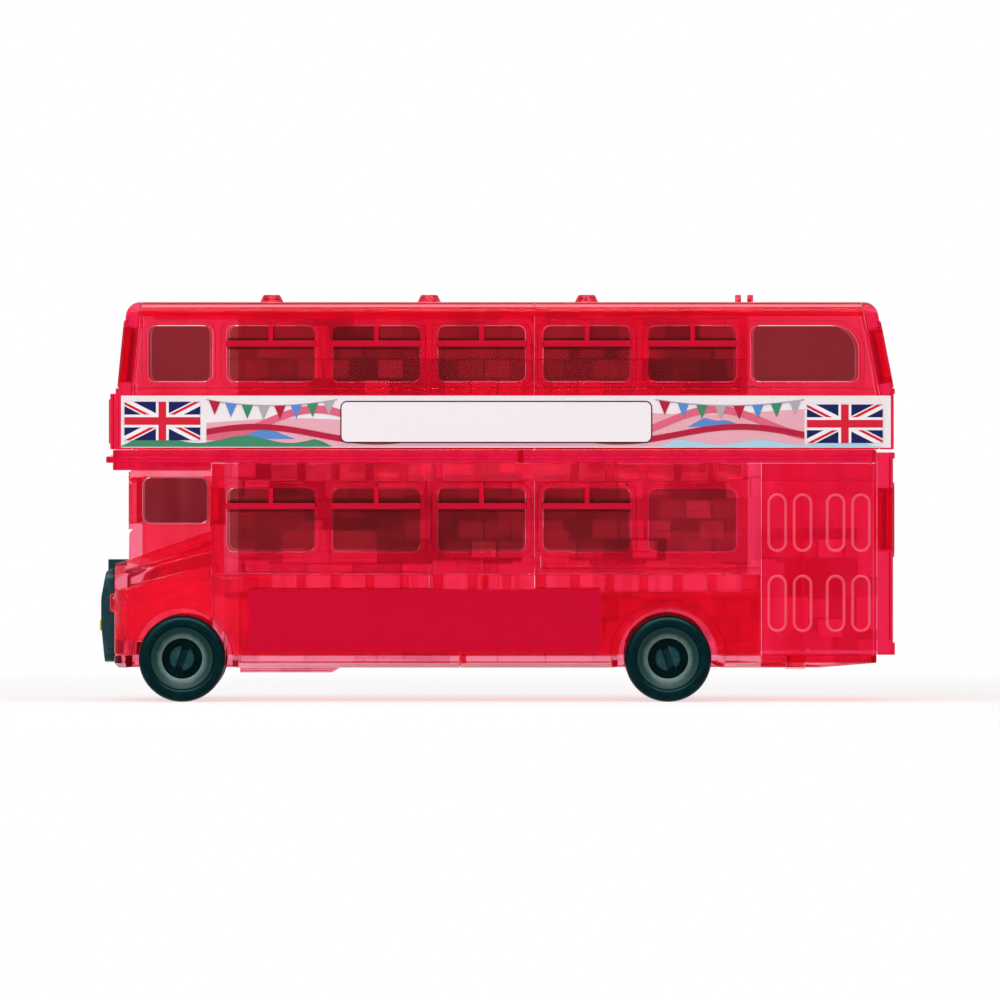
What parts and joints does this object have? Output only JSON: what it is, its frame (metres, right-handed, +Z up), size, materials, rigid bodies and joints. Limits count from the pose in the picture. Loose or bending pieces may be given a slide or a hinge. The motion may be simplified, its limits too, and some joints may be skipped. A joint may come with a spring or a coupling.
{
  "type": "toy double decker bus puzzle model",
  "caption": "See-through red plastic toy model of a half-cab double decker bus, built from interlocking pieces, with printed side bands and free-turning wheels.",
  "frame": {"origin": "on the ground under the middle of the bus", "axes": "+X towards the tail, +Y towards the cab side, +Z up"},
  "size_m": [0.13, 0.0402, 0.0666],
  "materials": {
    "clear_red_polystyrene": "clear crimson moulded polystyrene, glossy",
    "deep_red_polystyrene": "clear deep red moulded polystyrene, glossy",
    "dark_green_polystyrene": "opaque green-black moulded polystyrene, satin",
    "printed_film": "white printed sticker film",
    "tinted_film": "tinted red sticker film"
  },
  "bodies": {
    "body": {"chassis_front": "clear_red_polystyrene", "chassis_rear": "clear_red_polystyrene", "floor_front": "clear_red_polystyrene", "floor_rear": "clear_red_polystyrene", "mid_floor_front": "clear_red_polystyrene", "mid_floor_rear": "clear_red_polystyrene", "roof_front": "clear_red_polystyrene", "roof_rear": "clear_red_polystyrene", "lower_core_front": "clear_red_polystyrene", "lower_core_rear": "clear_red_polystyrene", "upper_core_front": "clear_red_polystyrene", "upper_core_rear": "clear_red_polystyrene", "lower_near_front": "clear_red_polystyrene", "lower_near_mid": "clear_red_polystyrene", "lower_near_rear": "clear_red_polystyrene", "upper_near_front": "clear_red_polystyrene", "upper_near_rear": "clear_red_polystyrene", "wing_near": "clear_red_polystyrene", "print_band_near": "printed_film", "print_label_near": "tinted_film", "glazing_lower_near": "deep_red_polystyrene", "glazing_upper_near": "deep_red_polystyrene", "lower_far_front": "clear_red_polystyrene", "lower_far_mid": "clear_red_polystyrene", "lower_far_rear": "clear_red_polystyrene", "upper_far_front": "clear_red_polystyrene", "upper_far_rear": "clear_red_polystyrene", "wing_far": "clear_red_polystyrene", "print_band_far": "printed_film", "print_label_far": "tinted_film", "glazing_lower_far": "deep_red_polystyrene", "glazing_upper_far": "deep_red_polystyrene", "platform_door": "clear_red_polystyrene", "tail_wall": "clear_red_polystyrene", "bulkhead": "clear_red_polystyrene", "cab": "clear_red_polystyrene", "bonnet": "clear_red_polystyrene", "upper_front": "clear_red_polystyrene", "upper_tail": "clear_red_polystyrene", "locking_pin": "clear_red_polystyrene", "glazing_ends": "deep_red_polystyrene", "grille": "dark_green_polystyrene", "axle_front": "dark_green_polystyrene", "axle_rear": "dark_green_polystyrene"},
    "wheel_front_near": {"wheel_front_near": "dark_green_polystyrene"},
    "wheel_front_far": {"wheel_front_far": "dark_green_polystyrene"},
    "wheel_rear_near": {"wheel_rear_near": "dark_green_polystyrene"},
    "wheel_rear_far": {"wheel_rear_far": "dark_green_polystyrene"}
  },
  "joints": [
    {"name": "wheel_front_near_spin", "type": "hinge", "parent": "body", "child": "wheel_front_near", "pos_m": [-0.0516, -0.017, 0.0071], "axis": [0, 1, 0], "continuous": true},
    {"name": "wheel_front_far_spin", "type": "hinge", "parent": "body", "child": "wheel_front_far", "pos_m": [-0.0516, 0.017, 0.0071], "axis": [0, 1, 0], "continuous": true},
    {"name": "wheel_rear_near_spin", "type": "hinge", "parent": "body", "child": "wheel_rear_near", "pos_m": [0.0279, -0.017, 0.0071], "axis": [0, 1, 0], "continuous": true},
    {"name": "wheel_rear_far_spin", "type": "hinge", "parent": "body", "child": "wheel_rear_far", "pos_m": [0.0279, 0.017, 0.0071], "axis": [0, 1, 0], "continuous": true}
  ]
}
